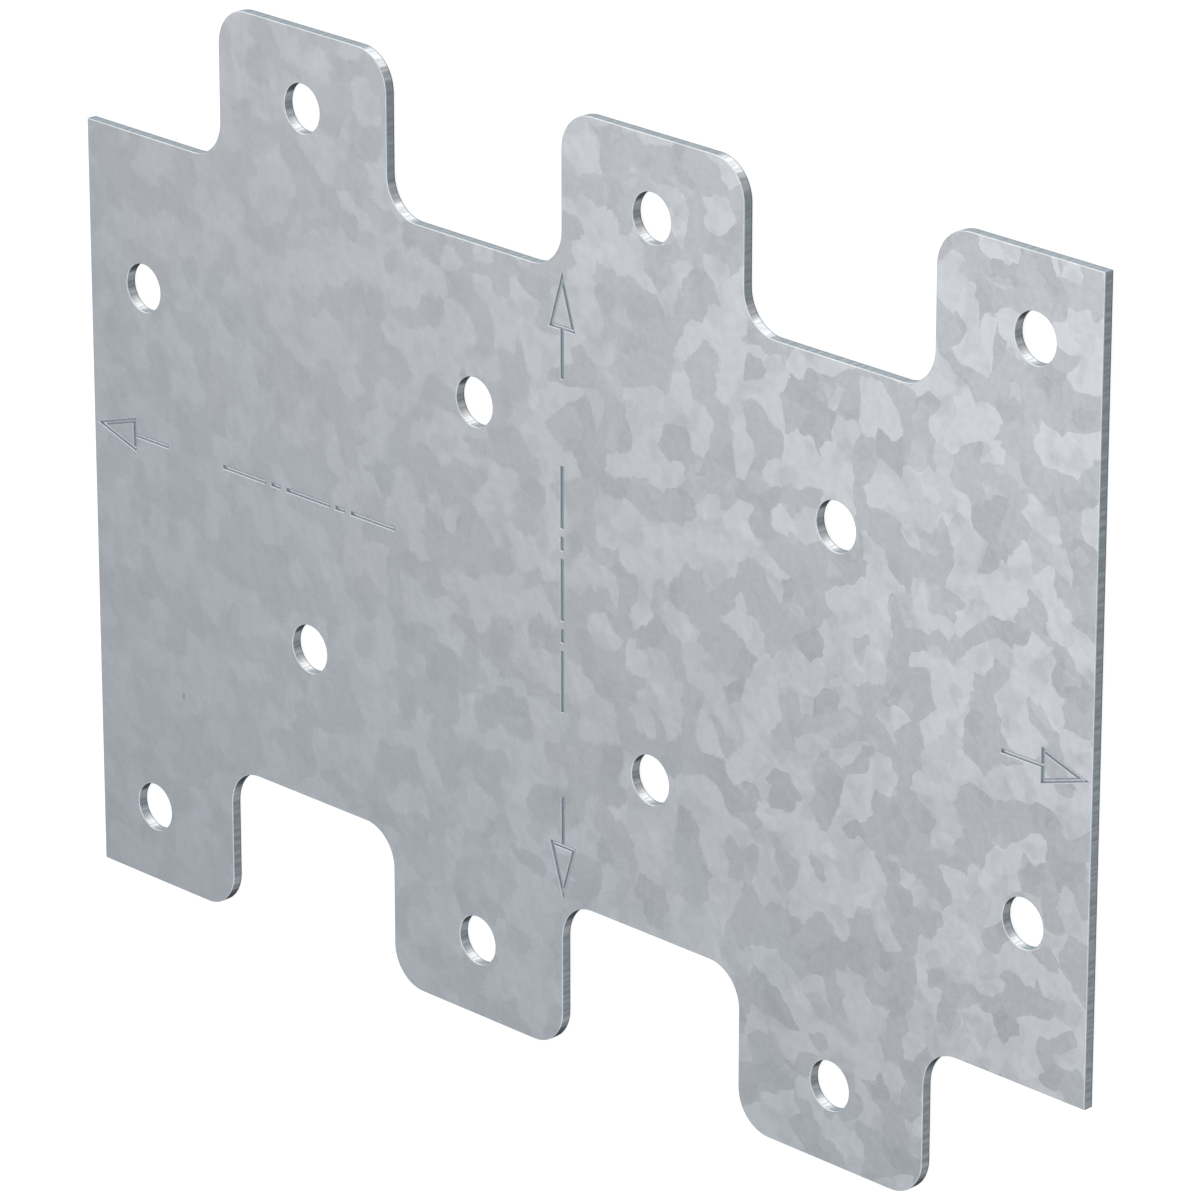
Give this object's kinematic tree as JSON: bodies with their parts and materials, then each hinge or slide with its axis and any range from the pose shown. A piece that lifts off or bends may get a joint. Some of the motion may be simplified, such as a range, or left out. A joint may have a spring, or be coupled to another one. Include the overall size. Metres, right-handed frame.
{
  "type": "lateral tie plate",
  "caption": "Flat galvanised sheet-steel plate with tabs along both long edges and punched nail holes, nailed across a joint to tie timber members against lateral load.",
  "frame": {"origin": "centre of the back face, where the two centre lines cross; the plate lies flat on it", "axes": "+X along the plate's length, +Y across it, +Z out of the front face, whose edges are rolled over"},
  "size_m": [0.108, 0.0762, 0.0008],
  "materials": {
    "galvanised_sheet": "hot-dip galvanised sheet with a fine dull spangle, punched and sheared edges"
  },
  "bodies": {
    "root": {"tie_plate": "galvanised_sheet"}
  },
  "joints": []
}
